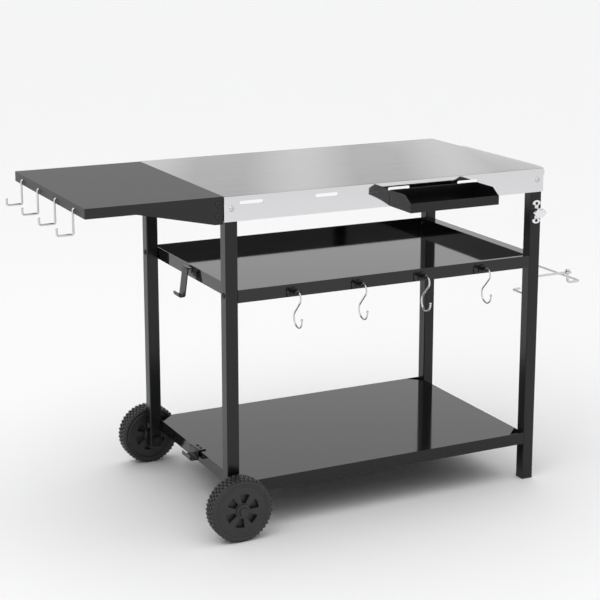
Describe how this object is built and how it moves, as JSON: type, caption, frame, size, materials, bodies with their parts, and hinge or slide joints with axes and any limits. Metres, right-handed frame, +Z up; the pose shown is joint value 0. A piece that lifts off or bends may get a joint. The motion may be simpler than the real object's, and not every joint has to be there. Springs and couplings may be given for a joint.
{
  "type": "outdoor bar cart",
  "caption": "Wheeled outdoor prep cart: stainless top on black square legs, middle tray, bottom shelf, side shelf with wire hooks, hung spice tray, push handle and towel bar.",
  "frame": {"origin": "on the floor, under the middle of the whole cart's outline", "axes": "+X along the table towards the handle, -Y to the front where the spice tray hangs, +Z up"},
  "size_m": [1.3515, 0.6838, 0.8],
  "materials": {
    "stainless_top": "polished sheet",
    "stainless_tube": "brushed tube",
    "satin_black": "satin powder coat",
    "gloss_black": "gloss powder coat",
    "chrome_wire": "bright plated wire",
    "opener_metal": "plated casting",
    "zinc_steel": "zinc plated",
    "steel_fixings": "bright",
    "black_fixings": "black oxide",
    "wheel_plastic": "moulded",
    "cap_plastic": "moulded",
    "foot_plastic": "moulded"
  },
  "bodies": {
    "frame": {"apron_bolts": "steel_fixings", "axle_caps": "cap_plastic", "axle_nuts": "steel_fixings", "axle_washers": "cap_plastic", "bottle_opener": "opener_metal", "bottom_shelf": "gloss_black", "bracket_bolts": "steel_fixings", "cloth_hook": "chrome_wire", "feet": "foot_plastic", "handle": "stainless_tube", "handle_bolts": "steel_fixings", "handle_plugs": "foot_plastic", "hook_bracket_1": "satin_black", "hook_bracket_2": "satin_black", "hook_bracket_3": "satin_black", "hook_bracket_4": "satin_black", "hook_bracket_screws": "steel_fixings", "leg_back_left": "satin_black", "leg_back_right": "satin_black", "leg_front_left": "satin_black", "leg_front_right": "satin_black", "leg_plugs": "foot_plastic", "middle_tray": "gloss_black", "opener_screws": "black_fixings", "rim_hook_1": "chrome_wire", "rim_hook_2": "chrome_wire", "rim_hook_3": "chrome_wire", "rim_hook_4": "chrome_wire", "rim_hook_nuts": "steel_fixings", "shelf_bolts": "steel_fixings", "shelf_nuts": "steel_fixings", "side_bracket_back": "satin_black", "side_bracket_front": "satin_black", "side_shelf": "gloss_black", "side_shelf_bolts": "black_fixings", "side_shelf_nuts": "steel_fixings", "stub_axles": "zinc_steel", "table_top": "stainless_top", "tank_hook": "satin_black", "tank_rest": "satin_black", "tank_screws": "steel_fixings", "towel_arm_back": "chrome_wire", "towel_arm_front": "chrome_wire", "towel_bar": "chrome_wire", "tray_bolts": "steel_fixings", "tray_nuts": "steel_fixings"},
    "front_wheel": {"front_wheel": "wheel_plastic"},
    "back_wheel": {"back_wheel": "wheel_plastic"},
    "spice_tray": {"spice_tray": "satin_black"},
    "s_hook_1": {"s_hook_1": "chrome_wire"},
    "s_hook_2": {"s_hook_2": "chrome_wire"},
    "s_hook_3": {"s_hook_3": "chrome_wire"},
    "s_hook_4": {"s_hook_4": "chrome_wire"}
  },
  "joints": [
    {"name": "front_wheel_spin", "type": "hinge", "parent": "frame", "child": "front_wheel", "pos_m": [-0.29325, -0.26995, 0.076], "axis": [0, 1, 0], "continuous": true},
    {"name": "back_wheel_spin", "type": "hinge", "parent": "frame", "child": "back_wheel", "pos_m": [-0.29325, 0.31265, 0.076], "axis": [0, 1, 0], "continuous": true},
    {"name": "spice_tray_lift", "type": "slide", "parent": "frame", "child": "spice_tray", "axis": [0, 0, 1], "range_m": [0, 0.006]},
    {"name": "s_hook_swing_1", "type": "hinge", "parent": "frame", "child": "s_hook_1", "pos_m": [-0.13975, -0.26365, 0.55517], "axis": [1, 0, 0], "range_deg": [-35, 35]},
    {"name": "s_hook_swing_2", "type": "hinge", "parent": "frame", "child": "s_hook_2", "pos_m": [0.02975, -0.26365, 0.55517], "axis": [1, 0, 0], "range_deg": [-35, 35]},
    {"name": "s_hook_swing_3", "type": "hinge", "parent": "frame", "child": "s_hook_3", "pos_m": [0.19925, -0.26365, 0.55517], "axis": [1, 0, 0], "range_deg": [-35, 35]},
    {"name": "s_hook_swing_4", "type": "hinge", "parent": "frame", "child": "s_hook_4", "pos_m": [0.36875, -0.26365, 0.55517], "axis": [1, 0, 0], "range_deg": [-35, 35]}
  ]
}
